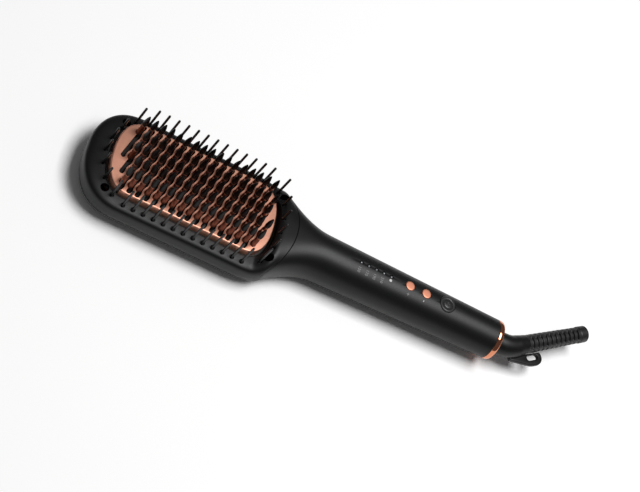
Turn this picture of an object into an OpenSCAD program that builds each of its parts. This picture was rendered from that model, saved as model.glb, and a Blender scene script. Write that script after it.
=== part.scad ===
// Straightening brush: a heated plate with ribs and capped teeth in a moulded head, ringed by pins,
// on a round handle with three push buttons and a cord outlet that turns.
// The origin is on the resting face, below the middle of the pin rows. +X runs along the handle, +Z out of the teeth.

/* [Head] */
// From the middle of the pin rows to the head's tip
head_reach = 77; // [72:0.5:95]
// From the middle of the pin rows to the side corners of the seam
corner_x = 60; // [58:0.5:75]
// Width of the head
head_w = 77; // [64:0.5:95]
// Width of the head at the seam's corners
corner_w = 70; // [58:0.5:88]
// Height of the front face above the resting face
deck_h = 24; // [22:0.5:30]
// Height of the head's widest line above the resting face
wide_h = 15.5; // [14:0.5:18]
// Height of the parting line between the front and the back mouldings
part_h = 11; // [9:0.5:13]
// Thickness of the front wall round the plate
deck_t = 2.6; // [2:0.1:4]
// Radius of the arc seam between head and handle
seam_r = 56; // [50:0.5:70]
// From the middle of the pin rows to the seam's apex
seam_x = 72.3; // [68:0.1:90]

/* [Handle] */
// From the middle of the pin rows to the handle's end
handle_end = 233; // [215:1:290]
// From the middle of the pin rows to where the neck has become the handle
neck_end = 100; // [95:1:120]
// Diameter of the handle at the neck
handle_d = 34; // [32:0.2:42]
// Diameter of the handle at its end
handle_end_d = 28.8; // [27.6:0.2:36]
// Height of the handle's axis at the neck
axis_h = 17.6; // [17:0.1:22]
// Height of the handle's axis at its end
axis_end_h = 19.4; // [18:0.1:24]
// Diameter of the hollow in the handle
hollow_d = 23; // [20:0.5:24]

/* [Heater plate] */
// Half length of the plate toward the tip
plate_tip = 61.3; // [55:0.1:66]
// Half length of the plate toward the handle
plate_back = 57; // [52:0.1:62]
// Rim between the plate and the head's side, on each side
plate_rim = 10.2; // [9.6:0.1:12]
// Height of the plate's face above the front face
plate_rise = 4.6; // [3:0.1:6]
// Number of ribs
rib_count = 19; // [11:2:19]
// Distance from rib to rib along the brush
rib_pitch = 5.97; // [5.6:0.01:6.2]
// Thickness of a rib
rib_t = 1.6; // [1.2:0.1:2.4]
// Width of a slot
slot_w = 2.9; // [2.4:0.1:3.2]
// How far the slots lie toward the tip from midway between the ribs
slot_back = 1.6; // [0:0.1:1.8]
// Height of the ribs above the plate's face
rib_h = 6.2; // [4:0.1:8]
// Slant of the ribs from straight across
rib_slant = 16; // [0:1:20]
// Depth of the slots between the ribs
slot_depth = 3.6; // [2:0.1:4]
// Tooth rows across the plate
tooth_rows = 5; // [3:2:5]
// Distance between tooth rows
tooth_pitch = 10.8; // [9:0.1:11]
// Diameter of a tooth at its root
tooth_d = 3.8; // [3:0.1:4.2]
// Height of a tooth's metal root above the rib
root_h = 3; // [2:0.1:4]
// Height of a tooth's cap
cap_h = 10.5; // [6:0.1:12]

/* [Pins] */
// Pins along each long side
pin_count = 13; // [7:2:13]
// Distance from pin to pin
pin_pitch = 7.2; // [6.6:0.1:7.6]
// Diameter of a pin
pin_d = 1.9; // [1.2:0.1:2.2]
// Length of a side pin above the front face
pin_l = 19.2; // [12:0.1:22]
// Length of a pin on the end arcs above the front face
end_pin_l = 13; // [8:0.1:16]
// Depth of a pin's seat
pin_seat = 2.4; // [2:0.1:2.6]
// From a side pin to the head's side
pin_rim = 4.9; // [4:0.1:6]

/* [Buttons and lamps] */
// First lamp, from the middle of the pin rows
lamp_x = 121.3; // [116:0.1:140]
// Distance from lamp to lamp
lamp_pitch = 5.9; // [5:0.1:7]
// Diameter of a lamp's lens
lamp_d = 1.5; // [1:0.1:2.4]
// Middle of the first copper-coloured button
plus_x = 159.7; // [155:0.1:175]
// Distance between the two copper-coloured buttons
button_pitch = 13; // [12:0.1:15]
// Diameter of the copper-coloured buttons
button_d = 7; // [5:0.1:9]
// Middle of the power button
power_x = 189.8; // [186:0.1:205]
// Diameter of the power button
power_d = 12; // [9:0.1:13]
// How far a button travels
button_travel = 0.5; // [0.3:0.05:0.6]

/* [Cord outlet] */
// Diameter of the outlet's stem
stem_d = 16.6; // [14:0.1:18]
// Diameter of the journal that turns in the bushing
journal_d = 13; // [10:0.1:14]
// Angle between the handle and the strain relief
bend = 34.5; // [0:0.5:60]
// From the ring to the bend
bend_reach = 12; // [10:0.5:16]
// From the bend to the strain relief's end
relief_l = 71; // [50:1:90]
// Diameter of the strain relief at its root
relief_d = 13.4; // [11:0.1:15]
// Diameter of the strain relief at its end
relief_end_d = 11.4; // [9:0.1:13]
// Number of grooves round the strain relief
groove_count = 11; // [5:1:14]
// Diameter of the cord that the relief holds
cord_d = 6.2; // [5:0.1:7]

/* [Clearances] */
// Gap in the seams between mouldings
seam_gap = 0.2; // [0.1:0.05:0.4]
// Radial gap of a pin, screw or lens in its hole
fit_gap = 0.05; // [0.02:0.01:0.1]
// Radial gap of a button in its hole
button_gap = 0.1; // [0.05:0.01:0.2]
// Radial gap of the journal in its bushing
journal_gap = 0.06; // [0.03:0.01:0.1]
// Gap between the plate and the frame's opening
plate_gap = 1.2; // [0.8:0.1:1.5]

/* [Hidden] */

$fn = 48;
black = [0.09, 0.09, 0.095];
soft_black = [0.14, 0.14, 0.15];
copper = [0.78, 0.47, 0.36];
steel = [0.7, 0.7, 0.72];
ceramic = [0.93, 0.91, 0.85];
mica = [0.75, 0.68, 0.5];
board_green = [0.08, 0.33, 0.2];
signal_red = [0.7, 0.1, 0.08];

// The body's outline: half widths, heights and how square a section is, all along x
head_half = head_w / 2;
corner_half = corner_w / 2;
handle_r = handle_d / 2;
tip_run = 32;               // length of the rounded tip
tip_x = -(head_reach - tip_run);
tip_e = 2.3;                // squareness of the tip in plan
swell_x = corner_x - 18;    // where the sides start to draw in toward the corners
ramp_x = corner_x - 10;     // where the front face starts to rise toward the handle
ramp_run = 13;
neck_run = neck_end - corner_x;
flat_depth = 0.8;           // how far the back's curve is cut off by the resting face

function ease(t) = let (s = min(max(t, 0), 1)) s * s * (3 - 2 * s);
function mix(a, b, t) = a + (b - a) * t;
function along(x, a, b) = (x - a) / (b - a);
function spow(v, e) = sign(v) * pow(abs(v), e);
function round_off(s, e) = pow(max(1 - pow(s, e), 0), 1 / e);
function tip_s(x) = max(0, (tip_x - x) / tip_run);

function handle_at(x) = let (t = max(0, along(x, neck_end, handle_end))) mix(handle_r, handle_end_d / 2, t);
function axis_at(x) = mix(axis_h, axis_end_h, max(0, along(x, neck_end, handle_end)));
function half_w(x) =
    x < swell_x ? head_half * round_off(tip_s(x), tip_e) :
    x < corner_x ? mix(head_half, corner_half, pow(along(x, swell_x, corner_x), 2.2)) :
    x < neck_end ? handle_r + (corner_half - handle_r) * pow(1 - (x - corner_x) / neck_run, 2) :
    handle_at(x);
function wide_z(x) = x < corner_x ? wide_h : mix(wide_h, axis_at(x), ease((x - corner_x) / neck_run));
function rise_z(x) = let (low = deck_h, high = axis_at(neck_end) + handle_r)
    low + (high - low) * (0.85 * ease((x - ramp_x) / ramp_run) + 0.15 * ease((x - corner_x) / neck_run));
function top_z(x) =
    x < tip_x ? wide_h + (deck_h - wide_h) * round_off(tip_s(x), 5) :
    x < neck_end ? rise_z(x) : axis_at(x) + handle_at(x);
function bottom_z(x) =
    x < tip_x ? wide_h - (wide_h + flat_depth) * round_off(tip_s(x), 2.6) :
    x < neck_end ? mix(-flat_depth, axis_at(x) - handle_r, ease((x - corner_x) / neck_run)) :
    axis_at(x) - handle_at(x);
function top_e(x) = 5 - 2 * ease(along(x, corner_x - 15, corner_x)) - ease(along(x, corner_x, neck_end - 5));
function low_e(x) = mix(2.6, 2, ease((x - corner_x) / neck_run));

ring_points = 40;
function section(x) = [for (i = [0:ring_points - 1])
    let (a = 360 * i / ring_points, up = sin(a) >= 0, e = up ? top_e(x) : low_e(x),
         h = up ? top_z(x) - wide_z(x) : wide_z(x) - bottom_z(x))
    [x, half_w(x) * spow(cos(a), 2 / e), wide_z(x) + h * spow(sin(a), 2 / e)]];

tip_steps = 9;
tip_end = 0.9985;           // the tip's last section, short of a point
swell_steps = 6;
neck_steps = 10;
stations = concat(
    [for (k = [tip_steps:-1:0]) tip_x - tip_run * min(sin(90 * k / tip_steps), tip_end)],
    [for (k = [0:swell_steps - 1]) mix(swell_x, corner_x, k / swell_steps)],
    [for (k = [0:neck_steps]) mix(corner_x, neck_end, k / neck_steps)],
    [mix(neck_end, handle_end, 0.5), handle_end]);

module loft(rings) {
    n = len(rings[0]);
    last = len(rings) - 1;
    polyhedron(
        points = [for (ring = rings) each ring],
        faces = concat(
            [[for (i = [0:n - 1]) i]],
            [for (k = [0:last - 1], i = [0:n - 1]) let (j = (i + 1) % n) [k * n + i, (k + 1) * n + i, (k + 1) * n + j]],
            [for (k = [0:last - 1], i = [0:n - 1]) let (j = (i + 1) % n) [k * n + i, (k + 1) * n + j, k * n + j]],
            [[for (i = [n - 1:-1:0]) last * n + i]]));
}

module body() {
    loft([for (x = stations) section(x)]);
}

// Room on both sides of the seams
far = 300;
seam_mid = seam_x - seam_r;
module head_side(gap = 0) {
    translate([seam_mid, 0, -far / 2]) cylinder(r = seam_r + gap, h = far, $fn = 128);
    translate([seam_mid - far, -far / 2, -far / 2]) cube([far, far, far]);
}
module above_part() {
    translate([-far / 2, -far / 2, part_h + seam_gap / 2]) cube([2 * far, far, far]);
}
module below_part() {
    translate([-far / 2, -far / 2, 0]) cube([2 * far, far, part_h - seam_gap / 2]);
}

// Plan outlines with rounded ends, for the plate and what lies round it
plate_half = head_half - plate_rim;
plate_round = 18.3;         // length of the plate's rounded ends
plate_e = 2.5;
outline_steps = 12;
function end_points(x0, run, half, dir) = [for (k = [-outline_steps:outline_steps])
    let (a = 90 * k / outline_steps)
    [x0 + dir * run * spow(cos(a), 2 / plate_e), dir * half * spow(sin(a), 2 / plate_e)]];
module plate_outline(grow = 0) {
    polygon(concat(
        end_points(plate_back - plate_round, plate_round + grow, plate_half + grow, 1),
        end_points(plate_round - plate_tip, plate_round + grow, plate_half + grow, -1)));
}
module slab(z0, z1) {
    translate([0, 0, z0]) linear_extrude(z1 - z0) children();
}

// Pins: a shank with a round tip, on its seat
side_y = head_half - pin_rim;
side_spots = [for (i = [0:pin_count - 1], s = [-1, 1]) [(i - (pin_count - 1) / 2) * pin_pitch, s * side_y]];
front_corner_x = -52.3;
rear_corner_x = 54.5;
corner_spots = [for (s = [-1, 1]) each [[front_corner_x, s * (side_y - 3.3)], [rear_corner_x, s * (side_y - 4.7)]]];
tip_arc_x = head_reach - 11.5;
tip_arc_spots = [for (a = [-20.6, -10.4, 0, 10.4, 20.6]) [-tip_arc_x * (1 - 0.000197 * a * a), a]];
back_arc_spots = [for (a = [-18, -6, 6, 18]) [corner_x + 0.7 - 0.0052 * a * a, a]];

module pin(base_z, length) {
    r = pin_d / 2;
    translate([0, 0, base_z - pin_seat]) rotate_extrude($fn = 16)
        polygon(concat([[0, 0], [r, 0]],
            [for (a = [0:22.5:90]) [r * cos(a), pin_seat + length - r + r * sin(a)]]));
}
module pin_hole(base_z) {
    translate([0, 0, base_z - pin_seat]) cylinder(d = pin_d + 2 * fit_gap, h = far, $fn = 16);
}
// Height of the front face at a spot on it
function face_z(p) = let (w = half_w(p[0]), e = top_e(p[0]))
    wide_z(p[0]) + (top_z(p[0]) - wide_z(p[0])) * round_off(min(abs(p[1]) / w, 0.999), e);

// Screws that hold the front frame to the back
well_d = 6;
screw_d = 2.8;
screw_head_d = 5.2;
screw_head_h = 2.2;
well_floor = part_h + 3.5;
screw_end_z = 6.5;
boss_d = 9;
frame_screw_spots = [for (s = [-1, 1]) each [[-58, s * (plate_half - 1)], [58.9, s * (plate_half - 3.2)]]];

// Heights inside the head
deck_under = deck_h - deck_t;
flange_top = deck_under - 0.8;
flange_t = 1.6;
flange_grow = 1.9;
plate_face = deck_h + plate_rise;
plate_under = deck_h - 1;
skirt_t = 2;
element_t = 1.3;
sheet_t = 0.6;
clamp_t = 1.5;
clamp_top = plate_under - element_t - sheet_t;
clamp_under = clamp_top - clamp_t;
wall = 2.5;
cavity_half = head_half - 7;
post_d = 4;
post_spots = [for (x = [-36, 0, 36], s = [-1, 1]) [x, s * (plate_half + 0.6)]];

module head_cavity(inset, z0, z1) {
    reach = head_reach - inset;
    half = head_half - inset;
    run = tip_run - 4;
    slab(z0, z1) polygon(concat(
        [[swell_x, -half], [plate_back + 3, 7 - half], [plate_back + 3, half - 7], [swell_x, half]],
        end_points(run - reach, run, half, -1)));
}
module handle_hollow() {
    translate([seam_x + 2, 0, axis_at(mix(neck_end, handle_end, 0.5))]) rotate([0, 90, 0])
        cylinder(d = hollow_d, h = handle_end - seam_x - 2 - plug_seat_l);
}
lead_w = 16;
lead_top = axis_h + 1;
module neck_passage() {
    translate([plate_back - 6, -lead_w / 2, wall]) cube([seam_x - plate_back + 14, lead_w, lead_top - wall]);
}

// The handle's end: bushing, ring and swivel
plug_seat_l = 8;
plug_d = handle_end_d - 3.8;
ring_l = 4;
module at_axis(x) {
    translate([x, 0, axis_end_h]) rotate([0, 90, 0]) children();
}
module plug_seat() {
    at_axis(handle_end - plug_seat_l - 0.1) cylinder(d = plug_d + 2 * fit_gap, h = far);
}

module front_frame() color(black) {
    difference() {
        union() {
            difference() {
                intersection() {
                    body();
                    above_part();
                    head_side();
                }
                head_cavity(7, 0, deck_under);
            }
            for (p = frame_screw_spots) translate([p[0], p[1], part_h + seam_gap / 2])
                cylinder(d = boss_d, h = deck_under + 1 - part_h);
        }
        slab(0, far) plate_outline(plate_gap);
        slab(0, deck_under) plate_outline(flange_grow + 0.2);
        neck_passage();
        for (p = frame_screw_spots) translate([p[0], p[1], 0]) {
            cylinder(d = screw_d + 2 * fit_gap, h = far);
            translate([0, 0, well_floor]) cylinder(d = well_d, h = far);
        }
        for (p = concat(side_spots, corner_spots, tip_arc_spots, back_arc_spots))
            translate([p[0], p[1], 0]) pin_hole(face_z(p));
    }
}

module rear_posts() {
    for (p = frame_screw_spots) translate([p[0], p[1], 0]) cylinder(d = boss_d, h = part_h);
    for (p = post_spots) translate([p[0], p[1], 0]) cylinder(d = post_d, h = part_h, $fn = 24);
}
module rear_shell() color(black) {
    difference() {
        intersection() {
            body();
            below_part();
        }
        difference() {
            union() {
                head_cavity(12, wall, far);
                head_cavity(7, part_h - 3, far);
            }
            rear_posts();
        }
        neck_passage();
        handle_hollow();
        plug_seat();
        for (p = frame_screw_spots) translate([p[0], p[1], screw_end_z - 0.3])
            cylinder(d = screw_d + 2 * fit_gap, h = far);
    }
    for (p = post_spots) translate([p[0], p[1], part_h - 3])
        cylinder(d = post_d, h = flange_top - flange_t - part_h + 3, $fn = 24);
    for (p = board_spots) translate([p[0], p[1], board_post_z]) difference() {
        cylinder(d = board_post_d, h = board_under - board_post_z, $fn = 24);
        translate([0, 0, 4]) cylinder(d = board_screw_d + 2 * fit_gap, h = far, $fn = 24);
    }
}

module button_hole(x, d) {
    translate([x, 0, axis_at(x)]) cylinder(d = d + 2 * button_gap, h = far);
}
module handle_top_shell() color(black) {
    difference() {
        intersection() {
            body();
            above_part();
        }
        head_side(seam_gap);
        handle_hollow();
        neck_passage();
        plug_seat();
        button_hole(plus_x, button_d);
        button_hole(plus_x + button_pitch, button_d);
        button_hole(power_x, power_d);
        for (x = lamp_spots) translate([x, 0, axis_at(x)]) cylinder(d = lamp_d + 2 * fit_gap, h = far, $fn = 24);
    }
}

module side_pins() color(soft_black) {
    for (p = side_spots) translate([p[0], p[1], 0]) pin(face_z(p), pin_l);
}
module corner_pins() color(soft_black) {
    for (p = corner_spots) translate([p[0], p[1], 0]) pin(face_z(p), pin_l);
}
module end_pins() color(soft_black) {
    for (p = tip_arc_spots) translate([p[0], p[1], 0]) pin(face_z(p), end_pin_l);
    for (p = back_arc_spots) translate([p[0], p[1], 0]) pin(face_z(p), end_pin_l - 1);
}

// Heater plate: ribs stand between slanted slots, each with its tooth roots
rib_top = plate_face + rib_h;
root_top = rib_top + root_h;
foot_half = plate_half - 0.9;
rib_mid = -1.8;             // where the ribs are centred along x
field_mid = rib_mid + rib_pitch / 4;
field_half = 50;            // half length of the field of teeth
slot_half = field_half + 3; // half length of the field of slots
field_draw = 0.2;           // how much the field's ends draw in toward the sides
function rib_at(k) = rib_mid + (k - (rib_count - 1) / 2) * rib_pitch;
tooth_rows_v = [for (i = [0:tooth_rows - 1]) (i - (tooth_rows - 1) / 2) * tooth_pitch];
// The teeth of one rib: those whose place lies inside the field
function teeth_of(k) = [for (v = tooth_rows_v)
    if (abs(rib_at(k) + v * sin(rib_slant) - field_mid) < field_half) v];
scallop = 1.4;              // how far the ridge dips between two teeth
rib_ramp = 1.6;
ridge_over = 1.2;           // ridge beyond the last tooth
rib_foot = plate_face - slot_depth - 0.5;
module rib_profile(v0, v1) {
    steps = max(6, round((v1 - v0) / 1.35));
    ridge = [for (i = [0:steps]) let (v = mix(v0 - ridge_over, v1 + ridge_over, i / steps))
        [v, rib_top - scallop * (0.5 - 0.5 * cos(360 * v / tooth_pitch))]];
    polygon(concat(ridge, [[v1 + ridge_over + rib_ramp, plate_face - 0.1], [v1 + ridge_over + rib_ramp, rib_foot],
        [v0 - ridge_over - rib_ramp, rib_foot], [v0 - ridge_over - rib_ramp, plate_face - 0.1]]));
}
module across(x) {
    translate([x, 0, 0]) rotate([0, 0, -rib_slant]) children();
}
// A slot runs from side to side, or stops where the smooth crescents at the plate's ends begin
module slot(k) {
    x = rib_at(k + 0.5) - field_mid;
    draw = tan(rib_slant) + field_draw;
    edge = foot_half - slot_w / 2;
    y0 = -min((slot_half + x) / draw, edge);
    y1 = min((slot_half - x) / draw, edge);
    v0 = y0 / cos(rib_slant);
    v1 = y1 / cos(rib_slant);
    slab(plate_face - slot_depth, far) {
        translate([-slot_w / 2, v0]) square([slot_w, v1 - v0]);
        for (v = [v0, v1]) translate([0, v]) circle(d = slot_w, $fn = 24);
    }
}
module heater_plate() color(copper) {
    difference() {
        union() {
            slab(plate_under, plate_face) plate_outline();
            slab(flange_top - flange_t, plate_under) plate_outline();
            slab(flange_top - flange_t, flange_top) plate_outline(flange_grow);
        }
        slab(0, plate_under) plate_outline(-skirt_t);
        for (k = [0:rib_count - 2]) across(rib_at(k + 0.5) - slot_back) slot(k);
        for (p = clamp_screw_spots) translate([p[0], p[1], 0]) cylinder(d = screw_d + 2 * fit_gap, h = plate_under + 1.5);
    }
    for (k = [0:rib_count - 1]) let (teeth = teeth_of(k)) across(rib_at(k)) {
        translate([-rib_t / 2, 0, 0]) rotate([90, 0, 90]) linear_extrude(rib_t)
            rib_profile(teeth[0], teeth[len(teeth) - 1]);
        for (v = teeth) translate([0, v, rib_foot])
            cylinder(d1 = tooth_d, d2 = tooth_d - 0.5, h = root_top - rib_foot, $fn = 20);
    }
}

// A cap narrows to its rounded tip in one long curve
cap_curve = [[1, 0], [1, 0.14], [0.88, 0.48], [0.6, 0.82], [0.32, 0.97], [0, 1]];
module tooth_cap() {
    rotate_extrude($fn = 20)
        polygon(concat([[0, 0]], [for (p = cap_curve) [p[0] * tooth_d / 2, p[1] * cap_h]]));
}
module tooth_caps() color(soft_black) {
    for (k = [0:rib_count - 1]) across(rib_at(k)) for (v = teeth_of(k)) translate([0, v, root_top]) tooth_cap();
}

module plate_seat() color([0.05, 0.05, 0.05]) {
    difference() {
        union() {
            slab(flange_top, deck_under) plate_outline(flange_grow);
            slab(deck_under, deck_h - 0.8) plate_outline(plate_gap - 0.3);
        }
        slab(0, far) plate_outline(0.15);
    }
}

element_l = 88;
element_w = 11;
tab_end = 50;
module heating_elements() color(ceramic) {
    for (s = [-1, 1]) translate([-element_l / 2, s * 9, plate_under - element_t]) {
        translate([0, -element_w / 2, 0]) cube([element_l, element_w, element_t]);
        translate([element_l / 2, -1.5, 0.4]) cube([tab_end, 3, 0.5]);
    }
}
clamp_l = 96;
clamp_w = 40;
clamp_screw_spots = [for (x = [-44, 0, 44]) [x, 0]];
module clamp_blank(z0, z1) {
    difference() {
        translate([-clamp_l / 2, -clamp_w / 2, z0]) cube([clamp_l, clamp_w, z1 - z0]);
        for (p = clamp_screw_spots) translate([p[0], p[1], 0]) cylinder(d = screw_d + 2 * fit_gap, h = far);
    }
}
module insulation_sheet() color(mica) {
    clamp_blank(clamp_top, clamp_top + sheet_t);
}
module clamp_plate() color(steel) {
    clamp_blank(clamp_under, clamp_top);
}
module screw(tip_z, head_z, up) {
    translate([0, 0, min(tip_z, head_z)]) cylinder(d = screw_d, h = abs(head_z - tip_z), $fn = 24);
    translate([0, 0, up ? head_z : head_z - screw_head_h]) cylinder(d = screw_head_d, h = screw_head_h, $fn = 24);
}
module clamp_screws() color(steel) {
    for (p = clamp_screw_spots) translate([p[0], p[1], 0]) screw(plate_under + 1.2, clamp_under, false);
}
module thermal_fuse() color(steel) {
    translate([12, 9, clamp_under - 1.6]) rotate([0, 90, 0]) cylinder(d = 3.2, h = 11, $fn = 24);
}
module temperature_sensor() color(signal_red) {
    translate([-18, -9, clamp_under - 1.8]) cylinder(d = 2.4, h = 1.8, $fn = 24);
    translate([-18, -9.7, clamp_under - 1.2]) cube([10, 1.4, 0.6]);
}

module frame_screws() color(steel) {
    for (p = frame_screw_spots) translate([p[0], p[1], 0]) screw(screw_end_z, well_floor, true);
}

// Control board with switches and lamps
board_t = 1.6;
board_w = 19;
board_x0 = lamp_x - 8;
board_l = power_x + 14 - board_x0;
board_under = axis_h + 2.6;
board_top = board_under + board_t;
board_screw_d = 2;
board_post_d = 5;
board_post_z = axis_h - 11;
board_spots = [for (x = [board_x0 + 3.5, board_x0 + board_l - 3.5], s = [-1, 1]) [x, s * 6]];
lamp_spots = [for (k = [0:4]) lamp_x + k * lamp_pitch];
switch_h = 3.4;
plunger_h = 0.5;
button_spots = [[plus_x, button_d], [plus_x + button_pitch, button_d], [power_x, power_d]];
module control_board() color(board_green) {
    difference() {
        translate([board_x0, -board_w / 2, board_under]) cube([board_l, board_w, board_t]);
        for (p = board_spots) translate([p[0], p[1], 0]) cylinder(d = board_screw_d + 2 * fit_gap, h = far, $fn = 24);
    }
}
module board_screws() color(steel) {
    for (p = board_spots) translate([p[0], p[1], board_under - 4]) {
        cylinder(d = board_screw_d, h = board_t + 4, $fn = 24);
        translate([0, 0, board_t + 4]) cylinder(d = 3.6, h = 1.2, $fn = 24);
    }
}
module tact_switches() color(steel) {
    for (b = button_spots) translate([b[0], 0, board_top]) {
        translate([-3, -3, 0]) cube([6, 6, switch_h]);
        translate([0, 0, switch_h]) cylinder(d = 3.4, h = plunger_h, $fn = 24);
    }
}
module lamp_chips() color(ceramic) {
    for (x = lamp_spots) translate([x - 1, -0.8, board_top]) cube([2, 1.6, 0.8]);
}
lens_root = board_top + 1.1;
module lamp_lenses() color([0.85, 0.87, 0.9]) {
    for (x = lamp_spots) translate([x, 0, 0]) {
        translate([0, 0, lens_root]) cylinder(d = lamp_d, h = top_z(x) - 0.05 - lens_root, $fn = 24);
    }
    translate([lamp_spots[0] - 2, -1.6, lens_root]) cube([4 * lamp_pitch + 4, 3.2, 1.2]);
}

// A push button: a cap through the top shell, a flange that keeps it in, a foot over its switch
flange_room = 0.4;
module push_button(x, d) {
    top = top_z(x) + 0.35;
    r = d / 2;
    hollow_axis = axis_at(mix(neck_end, handle_end, 0.5));
    flange_r = r + 0.9;
    flange_z = hollow_axis + sqrt(pow(hollow_d / 2, 2) - pow(flange_r, 2)) - flange_room;
    foot_z = board_top + switch_h + plunger_h + button_travel + 0.05;
    dome = 0.5;
    translate([x, 0, 0]) rotate_extrude() polygon([[0, foot_z], [1.8, foot_z], [1.8, flange_z - 0.9],
        [flange_r, flange_z - 0.9], [flange_r, flange_z], [r, flange_z], [r, top - dome],
        [r - 0.15, top - dome * 0.5], [r - 0.5, top - dome * 0.2], [r * 0.5, top - dome * 0.05], [0, top]]);
}
module plus_button() color(copper) {
    push_button(plus_x, button_d);
}
module minus_button() color(copper) {
    push_button(plus_x + button_pitch, button_d);
}
module power_button() color(black) {
    push_button(power_x, power_d);
}

ring_out = handle_end_d / 2 + 0.1;
module end_ring() color(copper) {
    r_in = plug_d / 2 + fit_gap;
    at_axis(handle_end + seam_gap / 2) rotate_extrude($fn = 96) polygon([[r_in, 0], [ring_out - 0.4, 0],
        [ring_out, 0.4], [ring_out, ring_l * 0.5], [ring_out - 0.35, ring_l * 0.85], [ring_out - 1, ring_l],
        [r_in, ring_l]]);
}
module end_plug() color(black) {
    difference() {
        at_axis(handle_end - plug_seat_l) cylinder(d = plug_d, h = plug_seat_l + ring_l - 0.4);
        at_axis(handle_end - far) cylinder(d = journal_d + 2 * journal_gap, h = 2 * far);
    }
}

stem_x = handle_end + ring_l;
bend_x = stem_x + bend_reach;
clip_x = handle_end - plug_seat_l - 1.8;
clip_groove = 1.2;
wire_bore = 5;
socket_l = 15;
module toward_relief(d = 0) {
    translate([bend_x, 0, axis_end_h]) rotate([0, 90, bend]) translate([0, 0, d]) children();
}
module swivel_elbow() color(black) {
    difference() {
        union() {
            at_axis(stem_x) rotate_extrude() polygon([[0, clip_x - 4 - stem_x], [journal_d / 2, clip_x - 4 - stem_x],
                [journal_d / 2, 0], [stem_d / 2, 0], [stem_d / 2, bend_reach], [0, bend_reach]]);
            translate([bend_x, 0, axis_end_h]) rotate([0, 90, bend / 2]) sphere(d = stem_d + 0.3);
            toward_relief() cylinder(d1 = stem_d, d2 = relief_d, h = socket_l);
            hanging_loop();
        }
        at_axis(clip_x) ring_groove();
        at_axis(clip_x - 5) cylinder(d = wire_bore, h = bend_x - clip_x + 6, $fn = 24);
        toward_relief(-1) cylinder(d = wire_bore, h = socket_l + 2, $fn = 24);
    }
}
module ring_groove() {
    difference() {
        cylinder(d = journal_d + 2, h = clip_groove);
        translate([0, 0, -1]) cylinder(d = journal_d - 2.4, h = clip_groove + 2);
    }
}
// The hanging loop lies beside and below the relief, with its own inner wall and a gap to the relief
loop_t = 3.2;
loop_drop = 6.2;
loop_r = 6;
loop_u = [18.5, 22.3];      // middles of its two round ends along the relief
loop_v = 9.2;
loop_hole_r = 1.9;
loop_clear = 6.1;
module hanging_loop() {
    translate([bend_x, 0, axis_end_h - loop_drop]) rotate(bend) linear_extrude(loop_t) difference() {
        union() {
            for (u = loop_u) translate([u, -loop_v]) circle(r = loop_r);
            translate([loop_u[0], -loop_v - loop_r]) square([loop_u[1] - loop_u[0], 2 * loop_r]);
            polygon([[0, -2], [0, -8], [8.7, -11.6], [14.2, -13.4], [18.5, -loop_v], [18.5, -5], [12, -2]]);
        }
        translate([socket_l, -loop_clear]) square([20, 20]);
        for (u = [17, 22.6]) translate([u, -loop_v]) circle(r = loop_hole_r, $fn = 32);
        translate([17, -loop_v - loop_hole_r]) square([5.6, 2 * loop_hole_r]);
    }
}
module swivel_clip() color(steel) {
    difference() {
        at_axis(clip_x + 0.1) cylinder(d = journal_d + 4, h = clip_groove - 0.2);
        at_axis(clip_x - 1) cylinder(d = journal_d - 2.4 + 2 * fit_gap, h = 4);
    }
}

groove_w = 2;
groove_depth = 1.1;
collar_l = 7;
module cord_relief() color(soft_black) {
    l = relief_l - socket_l;
    pitch = (l - collar_l - groove_w) / groove_count;
    r0 = relief_d / 2;
    r1 = relief_end_d / 2;
    toward_relief(socket_l) rotate_extrude($fn = 64) polygon(concat(
        [[cord_d / 2, 0], [r0, 0]],
        [for (k = [0:groove_count - 1]) let (z = groove_w + k * pitch, r = mix(r0, r1, z / l)) each
            [[r, z], [r - groove_depth, z + 0.3], [r - groove_depth, z + groove_w - 0.3], [r, z + groove_w]]],
        [[r1, l - collar_l], [r1 + 0.3, l - collar_l + 0.5], [r1 + 0.3, l - 0.5], [r1 - 0.2, l], [cord_d / 2, l]]));
}

block_x = clip_x - 6;
module contact_block() color(ceramic) {
    translate([block_x - 5, -6, axis_end_h - 4]) cube([5, 12, 8]);
}
module contact_springs() color(copper) {
    for (s = [-1, 1]) translate([block_x, s * 3 - 1, axis_end_h - 1]) cube([1.6, 2, 2]);
}

// A lead: one tube through its points, with a mitred ring at each
lead_d = 1.6;
lead_sides = 10;
function unit(v) = v / norm(v);
module lead(points) {
    last = len(points) - 1;
    loft([for (i = [0:last])
        let (way = unit(points[min(i + 1, last)] - points[i > 0 ? i - 1 : 0]), side = unit(cross([0, 1, 0], way)),
             up = cross(way, side))
        [for (k = [0:lead_sides - 1]) let (a = 360 * k / lead_sides)
            points[i] + lead_d / 2 * (cos(a) * side + sin(a) * up)]]);
}
module heater_leads() color(signal_red) {
    for (s = [-1, 1]) lead([[tab_end + 1, s * 9, plate_under - 0.9], [54, s * 5, lead_top - 4],
        [board_x0 - 6, s * 4, lead_top - 3], [board_x0 - 0.9, s * 4, board_under + 0.8]]);
}
module supply_leads() color(signal_red) {
    for (s = [-1, 1]) lead([[board_x0 + board_l + 0.9, s * 4, board_under + 0.8], [block_x - 5.9, s * 4, axis_end_h]]);
}

front_frame();
rear_shell();
handle_top_shell();
side_pins();
corner_pins();
end_pins();
heater_plate();
tooth_caps();
plate_seat();
heating_elements();
insulation_sheet();
clamp_plate();
clamp_screws();
thermal_fuse();
temperature_sensor();
heater_leads();
frame_screws();
control_board();
board_screws();
tact_switches();
lamp_chips();
lamp_lenses();
plus_button();
minus_button();
power_button();
end_ring();
end_plug();
swivel_elbow();
swivel_clip();
cord_relief();
contact_block();
contact_springs();
supply_leads();
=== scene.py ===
# A heated straightening brush, put together piece by piece on the solid model's frame.
# It lies on its back. Sizes are in millimetres: x runs along the handle to the cord, y runs
# across the head, and z rises from the floor along the teeth.
import math

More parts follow.
